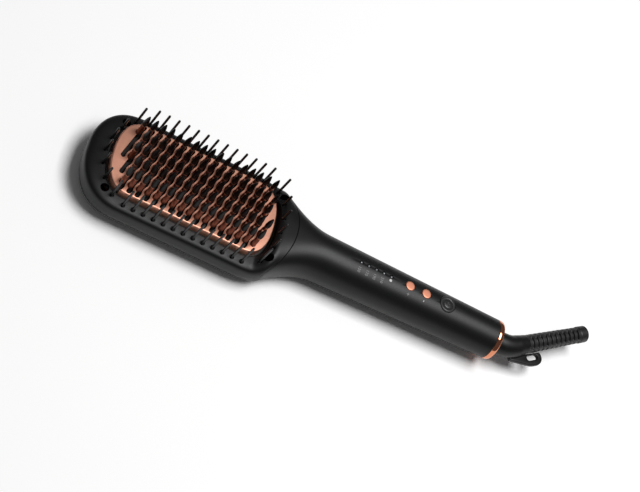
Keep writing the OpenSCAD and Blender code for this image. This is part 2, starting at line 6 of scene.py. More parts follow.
import bmesh
import bpy
from mathutils import Matrix, Vector


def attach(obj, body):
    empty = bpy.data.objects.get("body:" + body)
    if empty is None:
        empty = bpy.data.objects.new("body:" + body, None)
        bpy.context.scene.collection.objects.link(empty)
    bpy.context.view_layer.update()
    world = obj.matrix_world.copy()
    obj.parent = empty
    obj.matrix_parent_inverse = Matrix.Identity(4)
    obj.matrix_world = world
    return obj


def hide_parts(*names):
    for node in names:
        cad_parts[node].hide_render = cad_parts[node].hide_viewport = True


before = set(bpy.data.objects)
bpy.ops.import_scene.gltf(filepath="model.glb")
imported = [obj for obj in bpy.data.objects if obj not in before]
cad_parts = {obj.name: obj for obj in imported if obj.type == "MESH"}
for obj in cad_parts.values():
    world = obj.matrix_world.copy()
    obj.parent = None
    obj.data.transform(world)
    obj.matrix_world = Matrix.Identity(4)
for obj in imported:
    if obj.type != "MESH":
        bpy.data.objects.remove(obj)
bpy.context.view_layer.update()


# ---------------------------------------------------------------- back moulding
# One ABS moulding makes the back of the head and the lower half of the handle, and lies on the
# floor. It is sprayed with a soft-touch lacquer and carries everything else. The body's outline
# is worked out here, and the two front mouldings are cut from the same outline.
def ease(t):
    t = min(max(t, 0), 1)
    return t * t * (3 - 2 * t)


def mix(a, b, t):
    return a + (b - a) * t


def round_off(t, squareness):
    return max(1 - t ** squareness, 0) ** (1 / squareness)


TIP_X, TIP_RUN, SWELL_X, CORNER_X, NECK_END, HANDLE_END = -45, 32, 42, 60, 100, 233
HEAD_HALF, CORNER_HALF, HEAD_WIDEST, HEAD_TOP, HEAD_BOTTOM = 38.5, 35, 15.5, 24, -0.8
NECK_RADIUS, END_RADIUS, NECK_AXIS, END_AXIS = 17, 14.4, 17.6, 19.4
JOINT_HEIGHT = 11


def handle_radius(x):
    return mix(NECK_RADIUS, END_RADIUS, max(0, (x - NECK_END) / (HANDLE_END - NECK_END)))


def handle_axis(x):
    return mix(NECK_AXIS, END_AXIS, max(0, (x - NECK_END) / (HANDLE_END - NECK_END)))


def neck_share(x):
    return ease((x - CORNER_X) / (NECK_END - CORNER_X))


def tip_share(x):
    return max(0, (TIP_X - x) / TIP_RUN)


def half_width(x):
    if x < SWELL_X:
        return HEAD_HALF * round_off(tip_share(x), 2.3)
    if x < CORNER_X:
        return mix(HEAD_HALF, CORNER_HALF, ((x - SWELL_X) / (CORNER_X - SWELL_X)) ** 2.2)
    if x < NECK_END:
        to_neck = (x - CORNER_X) / (NECK_END - CORNER_X)
        return NECK_RADIUS + (CORNER_HALF - NECK_RADIUS) * (1 - to_neck) ** 2
    return handle_radius(x)


def widest_height(x):
    return HEAD_WIDEST if x < CORNER_X else mix(HEAD_WIDEST, handle_axis(x), neck_share(x))


def top_height(x):
    if x < TIP_X:
        return HEAD_WIDEST + (HEAD_TOP - HEAD_WIDEST) * round_off(tip_share(x), 5)
    if x < NECK_END:
        step = NECK_AXIS + NECK_RADIUS - HEAD_TOP
        return HEAD_TOP + step * (0.85 * ease((x - 50) / 13) + 0.15 * neck_share(x))
    return handle_axis(x) + handle_radius(x)


def bottom_height(x):
    if x < TIP_X:
        return HEAD_WIDEST - (HEAD_WIDEST - HEAD_BOTTOM) * round_off(tip_share(x), 2.6)
    if x < NECK_END:
        return mix(HEAD_BOTTOM, handle_axis(x) - NECK_RADIUS, neck_share(x))
    return handle_axis(x) - handle_radius(x)


def top_squareness(x):
    """How boxy the upper side's section is: 2 is round, and 5 nearly a box."""
    return 5 - 2 * ease((x - 45) / 15) - ease((x - CORNER_X) / 35)


def body_point(x, angle):
    """The point of the body's outline at x, at an angle round it from the +y side over the top."""
    up = math.sin(angle) >= 0
    squareness = top_squareness(x) if up else mix(2.6, 2, neck_share(x))
    height = top_height(x) - widest_height(x) if up else widest_height(x) - bottom_height(x)
    across = math.copysign(abs(math.cos(angle)) ** (2 / squareness), math.cos(angle))
    rise = math.copysign(abs(math.sin(angle)) ** (2 / squareness), math.sin(angle))
    return Vector((x, half_width(x) * across, widest_height(x) + height * rise))


def face_height(x, y):
    """How high the body's upper side is at a spot in plan."""
    share = min(abs(y) / half_width(x), 0.999)
    return widest_height(x) + (top_height(x) - widest_height(x)) * round_off(share, top_squareness(x))


def round_turns(steps):
    return [2 * math.pi * k / steps for k in range(steps)]


def skin(rings):
    """Points and faces of a closed skin over rings of points, with a face over each end."""
    n = len(rings[0])
    last = (len(rings) - 1) * n
    faces = [tuple(range(n)), tuple(last + i for i in range(n))]
    for start in range(0, last, n):
        for i in range(n):
            j = (i + 1) % n
            faces.append((start + i, start + j, start + n + j, start + n + i))
    return [p for ring in rings for p in ring], faces


def together(shapes):
    """Several shapes as one."""
    points, faces = [], []
    for more_points, more_faces in shapes:
        start = len(points)
        points += more_points
        faces += [tuple(start + i for i in face) for face in more_faces]
    return points, faces


def add_piece(name, shape):
    """A piece from points in millimetres, its faces turned outward."""
    mesh = bpy.data.meshes.new(name)
    mesh.from_pydata([Vector(p) / 1000 for p in shape[0]], [], shape[1])
    work = bmesh.new()
    work.from_mesh(mesh)
    bmesh.ops.recalc_face_normals(work, faces=work.faces)
    work.to_mesh(mesh)
    work.free()
    piece = bpy.data.objects.new(name, mesh)
    bpy.context.scene.collection.objects.link(piece)
    return piece


def carve(piece, shape, operation="DIFFERENCE"):
    """Cuts a shape out of a piece, or keeps only what lies in it."""
    cutter = add_piece("cutter", shape)
    cut = piece.modifiers.new("cut", "BOOLEAN")
    cut.operation = operation
    cut.solver = "MANIFOLD"
    cut.object = cutter
    mesh = bpy.data.meshes.new_from_object(piece.evaluated_get(bpy.context.evaluated_depsgraph_get()))
    piece.modifiers.clear()
    piece.data = mesh
    bpy.data.objects.remove(cutter)


def fit(piece, finish, body, material_slot, *nodes, crease=35):
    """Smooths a piece up to its creases, gives it its finish and puts it in its nodes' place."""
    work = bmesh.new()
    work.from_mesh(piece.data)
    for face in work.faces:
        face.smooth = True
    for edge in work.edges:
        edge.smooth = edge.calc_face_angle(math.pi) < math.radians(crease)
    work.to_mesh(piece.data)
    work.free()
    piece.data.materials.clear()
    piece.data.materials.append(finish)
    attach(piece, body)
    if nodes:
        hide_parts(*nodes)


def prism(outline, z0, z1):
    return skin([[Vector((x, y, z)) for x, y in outline] for z in (z0, z1)])


def block(x0, x1, y0, y1, z0, z1):
    return prism([(x0, y0), (x1, y0), (x1, y1), (x0, y1)], z0, z1)


def turned(profile, place=Matrix(), steps=48):
    """A shape turned on a lathe: (radius, height) pairs about the z axis, then put in place."""
    rings = []
    for radius, height in profile:
        r = max(radius, 0.02)
        rings.append([place @ Vector((r * math.cos(a), r * math.sin(a), height)) for a in round_turns(steps)])
    return skin(rings)


def tube(path, radius, steps=10):
    """A round bar that follows a path of points."""
    rings = []
    for i, point in enumerate(path):
        way = (path[min(i + 1, len(path) - 1)] - path[max(i - 1, 0)]).normalized()
        side = way.cross(Vector((0, 0, 1)) if abs(way.z) < 0.9 else Vector((0, 1, 0))).normalized()
        up = side.cross(way)
        rings.append([point + radius * (math.cos(a) * side + math.sin(a) * up) for a in round_turns(steps)])
    return skin(rings)


def x_axis_at(x, z):
    """Stands a lathe's z axis along x, at a height above the floor."""
    return Matrix.Translation((x, 0, z)) @ Matrix.Rotation(math.pi / 2, 4, "Y")


def steps_between(a, b, step):
    count = max(1, round((b - a) / step))
    return [mix(a, b, i / count) for i in range(count + 1)]


# Stations crowd toward the tip, where the outline closes to a small last ring
body_stations = [TIP_X - TIP_RUN * min(math.sin(math.pi / 2 * k / 28), 0.9985) for k in range(28, 0, -1)]
body_stations += steps_between(TIP_X, SWELL_X, 14.5) + steps_between(SWELL_X, NECK_END, 1.6)[1:]
body_stations += steps_between(NECK_END, HANDLE_END, 13.3)[1:]
body_skin = skin([[body_point(x, a) for a in round_turns(120)] for x in body_stations])


def rounded_run(x0, run, half, way, squareness=2.5, steps=24):
    """One rounded end of a long outline in plan."""
    points = []
    for k in range(-steps, steps + 1):
        a = math.pi / 2 * k / steps
        points.append((x0 + way * run * math.cos(a) ** (2 / squareness),
                       way * half * math.copysign(abs(math.sin(a)) ** (2 / squareness), a)))
    return points


def head_room(inset, z0, z1):
    """The room inside the head."""
    half = HEAD_HALF - inset
    return prism([(SWELL_X, -half), (CORNER_X, 7 - half), (CORNER_X, half - 7), (SWELL_X, half)]
                 + rounded_run(-49 + inset, 28, half, -1), z0, z1)


ROOM_RADIUS, ROOM_AXIS, BUSHING_RADIUS = 11.5, 18.5, 12.55
handle_room = turned([(ROOM_RADIUS, 74.3), (ROOM_RADIUS, 225)], x_axis_at(0, ROOM_AXIS), 64)
bushing_room = turned([(BUSHING_RADIUS, 224.9), (BUSHING_RADIUS, 240)], x_axis_at(0, END_AXIS), 64)
lead_room = block(51, 79, -8, 8, 2.5, 18.6)


def side_angle(x, height):
    """The angle at which the body's side passes a height below its widest one."""
    depth = (widest_height(x) - height) / (widest_height(x) - bottom_height(x))
    return -math.asin(min(max(depth, 0), 1) ** (mix(2.6, 2, neck_share(x)) / 2))


# The joint between the mouldings has small rounded edges, so it shows as a fine line
joint_line = [body_point(x, side_angle(x, JOINT_HEIGHT)) for x in reversed(body_stations)]
joint_line[0].x += 2
joint_line += [Vector((p.x, -p.y, p.z)) for p in reversed(joint_line)]
joint_groove = tube(joint_line, 0.3, 8)


def linear(colour):
    """An sRGB hex colour as the linear values a shader takes."""
    parts = [int(colour[i:i + 2], 16) / 255 for i in (1, 3, 5)]
    return [v / 12.92 if v <= 0.04045 else ((v + 0.055) / 1.055) ** 2.4 for v in parts] + [1]


def new_finish(name, colour, roughness, metallic=0.0, **more):
    finish = bpy.data.materials.new(name)
    finish.use_nodes = True
    shader = finish.node_tree.nodes["Principled BSDF"]
    shader.inputs["Base Color"].default_value = linear(colour)
    shader.inputs["Roughness"].default_value = roughness
    shader.inputs["Metallic"].default_value = metallic
    for socket, value in more.items():
        shader.inputs[socket.replace("_", " ")].default_value = value
    return finish


def add_node(finish, kind, settings, links):
    """Adds a node, sets its sockets to values, or links them from other nodes' sockets."""
    made = finish.node_tree.nodes.new(kind)
    for name, value in settings.items():
        setattr(made, name, value)
    for socket, source in links.items():
        if isinstance(source, bpy.types.NodeSocket):
            finish.node_tree.links.new(source, made.inputs[socket])
        else:
            made.inputs[socket].default_value = source
    return made


def grain(finish, grain_mm, bump_mm, colours, roughs, stretch=(1, 1, 1)):
    """Fine unevenness of a surface: grains of a real size that change colour, gloss and height."""
    tree = finish.node_tree
    shader = tree.nodes["Principled BSDF"]
    place = add_node(finish, "ShaderNodeTexCoord", {}, {})
    scaled = add_node(finish, "ShaderNodeMapping", {}, {"Vector": place.outputs["Object"], "Scale": stretch})
    noise = add_node(finish, "ShaderNodeTexNoise", {}, {
        "Vector": scaled.outputs["Vector"], "Scale": 1000 / grain_mm, "Detail": 3.0, "Roughness": 0.6})
    tint = add_node(finish, "ShaderNodeMix", {"data_type": "RGBA"}, {"Factor": noise.outputs["Fac"]})
    tint.inputs["A"].default_value = linear(colours[0])
    tint.inputs["B"].default_value = linear(colours[1])
    gloss = add_node(finish, "ShaderNodeMapRange", {}, {
        "Value": noise.outputs["Fac"], "From Min": 0.3, "From Max": 0.7,
        "To Min": roughs[0], "To Max": roughs[1]})
    bump = add_node(finish, "ShaderNodeBump", {}, {
        "Height": noise.outputs["Fac"], "Strength": 1.0, "Distance": bump_mm / 1000})
    tree.links.new(tint.outputs["Result"], shader.inputs["Base Color"])
    tree.links.new(gloss.outputs["Result"], shader.inputs["Roughness"])
    tree.links.new(bump.outputs["Normal"], shader.inputs["Normal"])


# Soft-touch lacquer on moulded ABS: near black, a broad soft sheen and a faint velvet grain.
# The real grain is about 0.1 mm, drawn at 0.5 mm so that it shows.
soft_touch_lacquer = new_finish("soft_touch_lacquer_on_abs", "#09090a", 0.42, IOR=1.38)
grain(soft_touch_lacquer, 0.5, 0.005, ("#080809", "#0b0b0c"), (0.38, 0.46))

back_moulding = add_piece("back_moulding", body_skin)
carve(back_moulding, block(-100, 300, -60, 60, 0, JOINT_HEIGHT - 0.1), "INTERSECT")
for room in (head_room(12, 2.5, 40), head_room(7, 8, 40), lead_room, handle_room, bushing_room, joint_groove):
    carve(back_moulding, room)
fit(back_moulding, soft_touch_lacquer, "casing", "soft_black_shell", "rear_shell")


# ---------------------------------------------------------------- front frame
# A second ABS moulding frames the heater plate. It ends at a round seam toward the handle, has
# four deep wells for its screws, and each pin stands in a small round hollow of its face.
def plate_outline(grow):
    """The heater plate's outline in plan, grown on all sides."""
    run, half = 18.3 + grow, 28.3 + grow
    return rounded_run(38.7, run, half, 1) + rounded_run(-43, run, half, -1)


SEAM_X, SEAM_RADIUS = 16.3, 56


def seam_disc(gap):
    """What lies on the head's side of the round seam, in plan."""
    r = SEAM_RADIUS + gap
    rim = [(SEAM_X + r * math.cos(a), r * math.sin(a))
           for a in (math.pi * (k / 120 - 0.5) for k in range(121))]
    return [(-200, -r), *rim, (-200, r)]


def seam_point(angle):
    """Where the round seam meets the body's outline, at an angle round the body."""
    near, far = 45.0, 72.4
    for _ in range(40):
        x = (near + far) / 2
        p = body_point(x, angle)
        if math.hypot(x - SEAM_X, p.y) < SEAM_RADIUS + 0.1:
            near = x
        else:
            far = x
    return p


seam_line = [seam_point(math.radians(a)) for a in steps_between(-20, 200, 1.5)]
seam_groove = tube([p for p in seam_line if p.z > JOINT_HEIGHT + 0.4], 0.34, 8)

PIN_PITCH, PIN_ROW = 7.2, 33.6
side_pin_spots = [((i - 6) * PIN_PITCH, s * PIN_ROW) for i in range(13) for s in (-1, 1)]
corner_pin_spots = [(x, s * y) for s in (-1, 1) for x, y in ((-52.3, 30.3), (54.5, 28.9))]
tip_pin_spots = [(-65.5 * (1 - 0.000197 * y * y), y) for y in (-20.6, -10.4, 0, 10.4, 20.6)]
back_pin_spots = [(60.7 - 0.0052 * y * y, y) for y in (-18, -6, 6, 18)]
well_spots = [(x, s * y) for s in (-1, 1) for x, y in ((-58, 27.3), (58.9, 25.1))]

front_frame = add_piece("front_frame", body_skin)
carve(front_frame, prism(seam_disc(0), JOINT_HEIGHT + 0.1, 60), "INTERSECT")
carve(front_frame, head_room(7, 0, 21.4))
carve(front_frame, lead_room)
# How far the opening grows past the plate, and at what height: its upper edge is rounded
opening = [(1.25, 21), (1.25, 23.1), (1.35, 23.5), (1.6, 23.8), (2.1, 24.02), (2.6, 24.1), (2.6, 50)]
carve(front_frame, skin([[Vector((x, y, z)) for x, y in plate_outline(g)] for g, z in opening]))
carve(front_frame, prism(plate_outline(2.1), 0, 21.4))
carve(front_frame, together([
    turned([(3, 14.5), (3, 50)], Matrix.Translation((x, y, 0)), 40) for x, y in well_spots]))
carve(front_frame, together([
    turned([(1.55, face_height(x, y) - 0.9), (1.75, face_height(x, y) - 0.2), (1.9, 50)],
           Matrix.Translation((x, y, 0)), 24)
    for x, y in side_pin_spots + corner_pin_spots + tip_pin_spots + back_pin_spots]))
carve(front_frame, joint_groove)
carve(front_frame, seam_groove)
fit(front_frame, soft_touch_lacquer, "casing", "soft_black_shell", "front_frame")


# ---------------------------------------------------------------- handle cover
# The third ABS moulding closes the handle from above. It meets the front frame at the round
# seam and has holes for five lamps and three buttons, each with a softly rounded mouth.
LAMP_SPOTS = [121.3 + 5.9 * k for k in range(5)]
PLUS_X, MINUS_X, POWER_X = 159.7, 172.7, 189.8


def cover_top(x):
    return handle_axis(x) + handle_radius(x)


def mouth(x, radius, flare):
    """A round hole through the cover whose edge opens a little at the surface."""
    top, wide = cover_top(x), radius + flare
    return turned([(radius, handle_axis(x)), (radius, top - flare), (radius + 0.3 * flare, top - 0.3 * flare),
                   (wide, top), (wide, top + 3)], Matrix.Translation((x, 0, 0)), 48)


handle_cover = add_piece("handle_cover", body_skin)
carve(handle_cover, block(-100, 300, -60, 60, JOINT_HEIGHT + 0.1, 60), "INTERSECT")
carve(handle_cover, prism(seam_disc(0.2), -5, 60))
for room in (handle_room, lead_room, bushing_room, joint_groove, seam_groove):
    carve(handle_cover, room)
carve(handle_cover, together(
    [mouth(x, 1.25, 0.15) for x in LAMP_SPOTS]
    + [mouth(PLUS_X, 3.6, 0.25), mouth(MINUS_X, 3.6, 0.25), mouth(POWER_X, 6.1, 0.25)]))
fit(handle_cover, soft_touch_lacquer, "casing", "soft_black_shell", "handle_top_shell")


# ---------------------------------------------------------------- pins
# Thin guard pins ring the heater plate and keep it off the scalp. They are moulded nylon,
# pressed into the frame's face; those on the two end arcs are shorter.
# The nylon is black with a slight waxy gloss, a little uneven along each pin.
black_nylon = new_finish("moulded_black_nylon", "#101011", 0.34, IOR=1.53)
grain(black_nylon, 1.2, 0.01, ("#0e0e0f", "#151516"), (0.28, 0.4))


def pin(x, y, length):
    tip = 0.86
    rounding = [(tip * math.cos(a), length - tip + tip * math.sin(a))
                for a in (math.pi / 2 * k / 6 for k in range(7))]
    return turned([(0.95, -2.4), (0.95, 0.2), (0.9, 2.5), *rounding],
                  Matrix.Translation((x, y, face_height(x, y))), 20)


for name, spots, length in (("side_pins", side_pin_spots, 19.2), ("corner_pins", corner_pin_spots, 19.2)):
    pins = add_piece("nylon_" + name, together([pin(x, y, length) for x, y in spots]))
    fit(pins, black_nylon, "casing", "nylon", name)
arc_pins = add_piece("nylon_arc_pins", together(
    [pin(x, y, 13) for x, y in tip_pin_spots] + [pin(x, y, 12) for x, y in back_pin_spots]))
fit(arc_pins, black_nylon, "casing", "nylon", "end_pins")


# ---------------------------------------------------------------- heater plate
# One aluminium die casting, coated satin copper: a smooth crescent at each end and, between
# them, slanted ribs that stand at the edge of deep slots. Each rib swells round its teeth, dips
# between them and carries their metal roots. The casting sits in the frame with a dark gap.
RIBS, RIB_PITCH, RIB_MIDDLE, SLANT, TOOTH_PITCH = 19, 5.97, -1.8, math.radians(16), 10.8
PLATE_FACE, RIB_TOP, ROOT_TOP, RIB_FOOT = 28.6, 34.8, 37.8, 24.5
SLOT_WIDTH, SLOT_FLOOR, SLOT_BACK = 2.9, 25.0, 1.6
FIELD_MIDDLE = RIB_MIDDLE + RIB_PITCH / 4
NEXT_TOOTH = (RIB_PITCH / 2 + SLOT_BACK) * math.sin(SLANT)

# Satin copper-coloured coating on cast aluminium: warm metal with a soft sheen and a fine
# blasted texture, real grit about 0.05 mm, drawn at 0.6 mm so that it shows.
satin_copper = new_finish("satin_copper_coating", "#e6a88e", 0.44, 1.0)
grain(satin_copper, 0.6, 0.006, ("#df9c81", "#edb49c"), (0.4, 0.48))
# Painted shade for the slots and the ribs' feet: brown black and matt, standing in for the shade down in the
# deep slots.
slot_shadow = new_finish("painted_shade_in_slots", "#160d0a", 0.7, 0.0)
grain(slot_shadow, 0.8, 0.01, ("#100a08", "#1f120d"), (0.6, 0.8))
# Painted shade on the ribs' steep walls: the same copper, browner and darker, standing in for the shade that
# falls on them.
painted_shade_wall_copper = new_finish("painted_shade_copper_on_walls", "#8f5846", 0.4, 1.0)
grain(painted_shade_wall_copper, 0.6, 0.006, ("#824d3c", "#9c6452"), (0.36, 0.46))


def rib_x(k):
    return RIB_MIDDLE + (k - RIBS // 2) * RIB_PITCH


def slanted(x, u, v, z):
    """A point beside a slanted line across the plate: u along the brush, v along the line."""
    c, s = math.cos(SLANT), math.sin(SLANT)
    return Vector((x + u * c + v * s, -u * s + v * c, z))


def teeth_of(k):
    """How far along a rib its teeth stand: those of the five rows that fall on the plate."""
    rows = [TOOTH_PITCH * row for row in (-2, -1, 0, 1, 2)]
    return [v for v in rows if abs(rib_x(k) + v * math.sin(SLANT) - FIELD_MIDDLE) < 50]


def slot_shape(k):
    """A slot from side to side, or up to the crescents. Its far edge sways with the next rib's teeth."""
    from_middle = rib_x(k + 0.5) - FIELD_MIDDLE
    draw = math.tan(SLANT) + 0.2
    edge = 27.4 - SLOT_WIDTH / 2
    v0 = -min((53 + from_middle) / draw, edge) / math.cos(SLANT)
    v1 = min((53 - from_middle) / draw, edge) / math.cos(SLANT)
    x = rib_x(k + 0.5) - SLOT_BACK
    rings = []
    half_turn = [math.pi * i / 12 for i in range(13)]
    walls = [(-0.3, SLOT_FLOOR), (0, SLOT_FLOOR + 0.4), (0, 28.0), (0.08, 28.35), (0.2, PLATE_FACE),
             (0.2, 40)]
    for grow, z in walls:
        r = SLOT_WIDTH / 2 + grow
        far_end = [slanted(x, r * math.cos(a), v1 + r * math.sin(a), z) for a in half_turn]
        near_end = [slanted(x, -r * math.cos(a), v0 - r * math.sin(a), z) for a in half_turn]
        side = []
        for v in steps_between(v0, v1, 0.9)[1:-1]:
            calm = ease(min(v - v0, v1 - v) / 2.5)
            sway = 0.42 * calm * math.cos(2 * math.pi * (v - NEXT_TOOTH) / TOOTH_PITCH)
            side.append(slanted(x, r - sway, v, z))
        rings.append(far_end + near_end + side)
    return skin(rings)


def rib_shape(k):
    """A rib's wall: swollen at its teeth, scalloped between them, its top edge rounded."""
    teeth = teeth_of(k)
    v0, v1 = teeth[0] - 2.8, teeth[-1] + 2.8
    rings = []
    for v in steps_between(v0, v1, 0.6):
        wave = 0.5 + 0.5 * math.cos(2 * math.pi * v / TOOTH_PITCH)
        to_end = min(v - v0, v1 - v)
        thin = 0.35 + 0.65 * math.sqrt(min(to_end / 1.8, 1))
        half = (0.62 + 1.15 * wave ** 1.1) * thin
        crest = RIB_TOP - 1.4 * (1 - wave)
        top = mix(PLATE_FACE - 0.1, crest, ease(to_end / 1.9))
        side = top - min(0.8, 0.3 * (top - PLATE_FACE) + 0.3)
        foot = min(0.3, 0.5 * (top - PLATE_FACE) + 0.06)
        edge = [(half * 1.05, RIB_FOOT), (half + 0.34 * thin, PLATE_FACE - 0.02),
                (half + 0.3 * thin, PLATE_FACE + 0.04), (half * 1.02, PLATE_FACE + foot), (half, side),
                (half * 0.82, mix(side, top, 0.62)), (half * 0.45, mix(side, top, 0.93)), (0, top)]
        rings.append([slanted(rib_x(k), u, v, z) for u, z in edge]
                     + [slanted(rib_x(k), -u, v, z) for u, z in reversed(edge[:-1])])
    return skin(rings)


root_profile = [(1.85, RIB_FOOT), (1.72, RIB_TOP - 1.2), (1.6, RIB_TOP + 0.4), (1.5, RIB_TOP + 1.7),
                (1.62, RIB_TOP + 2.0), (1.68, RIB_TOP + 2.35), (1.62, RIB_TOP + 2.7), (1.45, ROOT_TOP - 0.1),
                (1.3, ROOT_TOP)]
tooth_spots = [slanted(rib_x(k), 0, v, 0) for k in range(RIBS) for v in teeth_of(k)]

plate_edge = [(-2, 23), (-2, 19), (1.9, 19), (1.9, 20.6), (0, 20.6), (0, 27.7)]
plate_edge += [(0.9 * math.cos(a) - 0.9, 27.7 + 0.9 * math.sin(a))
               for a in (math.pi / 12 * k for k in range(1, 7))]
heater_casting = add_piece("heater_casting", skin(
    [[Vector((x, y, z)) for x, y in plate_outline(grow)] for grow, z in plate_edge]))
carve(heater_casting, together([slot_shape(k) for k in range(RIBS - 1)]))
fit(heater_casting, satin_copper, "casing", "copper_coat", "heater_plate", crease=40)
# Painted shade: the slots' floors and, below their rounded edges, their walls take the dark slot finish
heater_casting.data.materials.append(slot_shadow)
for face in heater_casting.data.polygons:
    spot = face.center * 1000
    in_field = abs(spot.y) < 27.9 and -59.5 < spot.x < 55.5
    if in_field and 24.5 < spot.z < (28.2 if abs(face.normal.z) < 0.5 else 26):
        face.material_index = 1

ribs = add_piece("heater_ribs", together(
    [rib_shape(k) for k in range(RIBS)]
    + [turned(root_profile, Matrix.Translation(p), 20) for p in tooth_spots]))
fit(ribs, satin_copper, "casing", "copper_coat", "heater_plate", crease=50)
# Painted shade: a dark strip along each rib's foot stands in for a contact shadow, and the steep walls take
# the browner painted-shade copper
ribs.data.materials.append(slot_shadow)
ribs.data.materials.append(painted_shade_wall_copper)
for face in ribs.data.polygons:
    if face.center.z * 1000 < PLATE_FACE + 0.35:
        face.material_index = 1
    elif abs(face.normal.z) < 0.45:
        face.material_index = 2


# ---------------------------------------------------------------- tooth caps
# A black cap on each metal root keeps the hot metal off the scalp. It is moulded nylon with
# glass fibre: a little darker and rougher than the pins, and shaped like a slim leaf bud.
glass_nylon = new_finish("glass_filled_nylon", "#0b0b0c", 0.36, IOR=1.4)
grain(glass_nylon, 0.9, 0.015, ("#09090a", "#101011"), (0.3, 0.42))
cap_profile = [(1.5, 0), (1.68, 0.25), (1.86, 1.3), (1.9, 2.4), (1.84, 3.6), (1.68, 4.9), (1.46, 6.2),
               (1.2, 7.4), (0.94, 8.5), (0.7, 9.35), (0.5, 9.9), (0.3, 10.25), (0.14, 10.42), (0, 10.5)]
caps = add_piece("nylon_caps", together(
    [turned(cap_profile, Matrix.Translation((p.x, p.y, ROOT_TOP)), 20) for p in tooth_spots]))
fit(caps, glass_nylon, "casing", "nylon", "tooth_caps", crease=50)


# ---------------------------------------------------------------- seat, heating strips and clamp
# Under the casting lie two sintered heating strips, a mica sheet and a pressed steel clamp plate
# with its screws, fuse and sensor. The seat of heat-resistant polymer shows as the dark gap.
def refinish(finish, *nodes):
    """Gives solid-model pieces whose shape is right a finish of their own."""
    for name in nodes:
        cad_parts[name].data.materials.clear()
        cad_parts[name].data.materials.append(finish)


# Polyphenylene sulphide, moulded: dead black and matt.
seat_polymer = new_finish("moulded_seat_polymer", "#0b0b0b", 0.6, IOR=1.6)
grain(seat_polymer, 0.8, 0.01, ("#090909", "#101010"), (0.52, 0.68))
refinish(seat_polymer, "plate_seat", "end_plug")
# Sintered alumina: chalky off-white, with a fine sandy grain of about 0.3 mm.
alumina = new_finish("sintered_alumina", "#e6e1d3", 0.72, IOR=1.76)
grain(alumina, 0.3, 0.02, ("#ddd6c6", "#efebe0"), (0.65, 0.8))
refinish(alumina, "heating_elements", "contact_block")
# Mica: pressed flakes of a few millimetres, amber and silky.
pressed_mica = new_finish("pressed_mica", "#a8925f", 0.35, IOR=1.58)
grain(pressed_mica, 4.0, 0.03, ("#8d7848", "#c9b583"), (0.25, 0.5))
refinish(pressed_mica, "insulation_sheet")
# Zinc-plated steel, rolled and pressed: grey with fine lines along the strip.
zinc_steel = new_finish("zinc_plated_steel", "#a3a4a6", 0.36, 1.0)
grain(zinc_steel, 0.6, 0.004, ("#97989b", "#b0b1b2"), (0.28, 0.44), (0.08, 1, 1))
refinish(zinc_steel, "clamp_plate", "clamp_screws", "thermal_fuse", "swivel_clip", "board_screws",
         "tact_switches")
# Blackened steel screws at the bottom of the wells.
black_oxide = new_finish("black_oxide_steel", "#2a2a2b", 0.42, 1.0)
grain(black_oxide, 0.7, 0.01, ("#242425", "#343436"), (0.36, 0.5))
refinish(black_oxide, "frame_screws")
# Fired enamel on the sensor: glossy red, slightly pooled.
sensor_enamel = new_finish("fired_red_enamel", "#a5231a", 0.18, IOR=1.52)
grain(sensor_enamel, 1.5, 0.02, ("#8f1c15", "#b52a20"), (0.12, 0.26))
refinish(sensor_enamel, "temperature_sensor")
# Silicone rubber on the leads: soft red, slightly dusty.
silicone_red = new_finish("red_silicone_rubber", "#a3241c", 0.55, IOR=1.41)
grain(silicone_red, 0.8, 0.01, ("#961f18", "#b03027"), (0.48, 0.62))
refinish(silicone_red, "heater_leads", "supply_leads")
# Phosphor bronze, stamped: the contact springs.
stamped_bronze = new_finish("stamped_phosphor_bronze", "#b98149", 0.3, 1.0)
grain(stamped_bronze, 0.5, 0.004, ("#ad743e", "#c58f57"), (0.24, 0.38), (1, 0.1, 1))
refinish(stamped_bronze, "contact_springs")


# ---------------------------------------------------------------- control board and lamps
# A glass-fibre board under the handle cover carries the switches and five lamp chips. Each lamp
# shines through a clear moulded post; the five posts hang on one bar under the cover.
# Green solder mask over woven glass, the weave about 0.5 mm.
solder_mask = new_finish("green_solder_mask", "#14502c", 0.25, IOR=1.55)
grain(solder_mask, 0.5, 0.01, ("#114726", "#1a5c34"), (0.2, 0.32))
refinish(solder_mask, "control_board")
# Moulded lamp bodies: warm white and slightly waxy.
lamp_body = new_finish("white_lamp_body", "#e8e3d2", 0.4, IOR=1.5)
grain(lamp_body, 0.4, 0.01, ("#e2dcc8", "#eeebde"), (0.32, 0.46))
refinish(lamp_body, "lamp_chips")
# Polycarbonate, moulded clear: polished, so it takes small sharp glints over the dark room below.
clear_post = new_finish("clear_polycarbonate", "#c8ccd0", 0.1, IOR=1.585, Transmission_Weight=0.55)
grain(clear_post, 1.0, 0.004, ("#bcc1c6", "#d2d6d9"), (0.06, 0.14))
LENS_ROOT = 22.9


def lamp_post(x):
    top = cover_top(x) - 0.08
    return turned([(0.75, LENS_ROOT), (0.75, top - 0.45), (0.66, top - 0.22), (0.42, top - 0.06), (0, top)],
                  Matrix.Translation((x, 0, 0)), 24)


lamp_posts = add_piece("lamp_posts", together(
    [lamp_post(x) for x in LAMP_SPOTS]
    + [block(LAMP_SPOTS[0] - 2, LAMP_SPOTS[4] + 2, -1.6, 1.6, LENS_ROOT, LENS_ROOT + 1.2)]))
fit(lamp_posts, clear_post, "casing", "lens", "lamp_lenses")


# ---------------------------------------------------------------- printed marks
# The lamps are marked with the plate's temperatures in pad-printed grey, and the two small
# buttons with a plus and a minus. The print lies on the cover's round surface.
# Pad-printing ink: light grey, thin, a little patchy at 0.4 mm.
printed_grey = new_finish("pad_printed_grey", "#8f8f8f", 0.6)
grain(printed_grey, 0.4, 0.002, ("#7c7c7c", "#9c9c9c"), (0.55, 0.65))
printed_white = new_finish("pad_printed_white", "#d8d8d8", 0.6)
grain(printed_white, 0.4, 0.002, ("#c8c8c8", "#e2e2e2"), (0.55, 0.65))


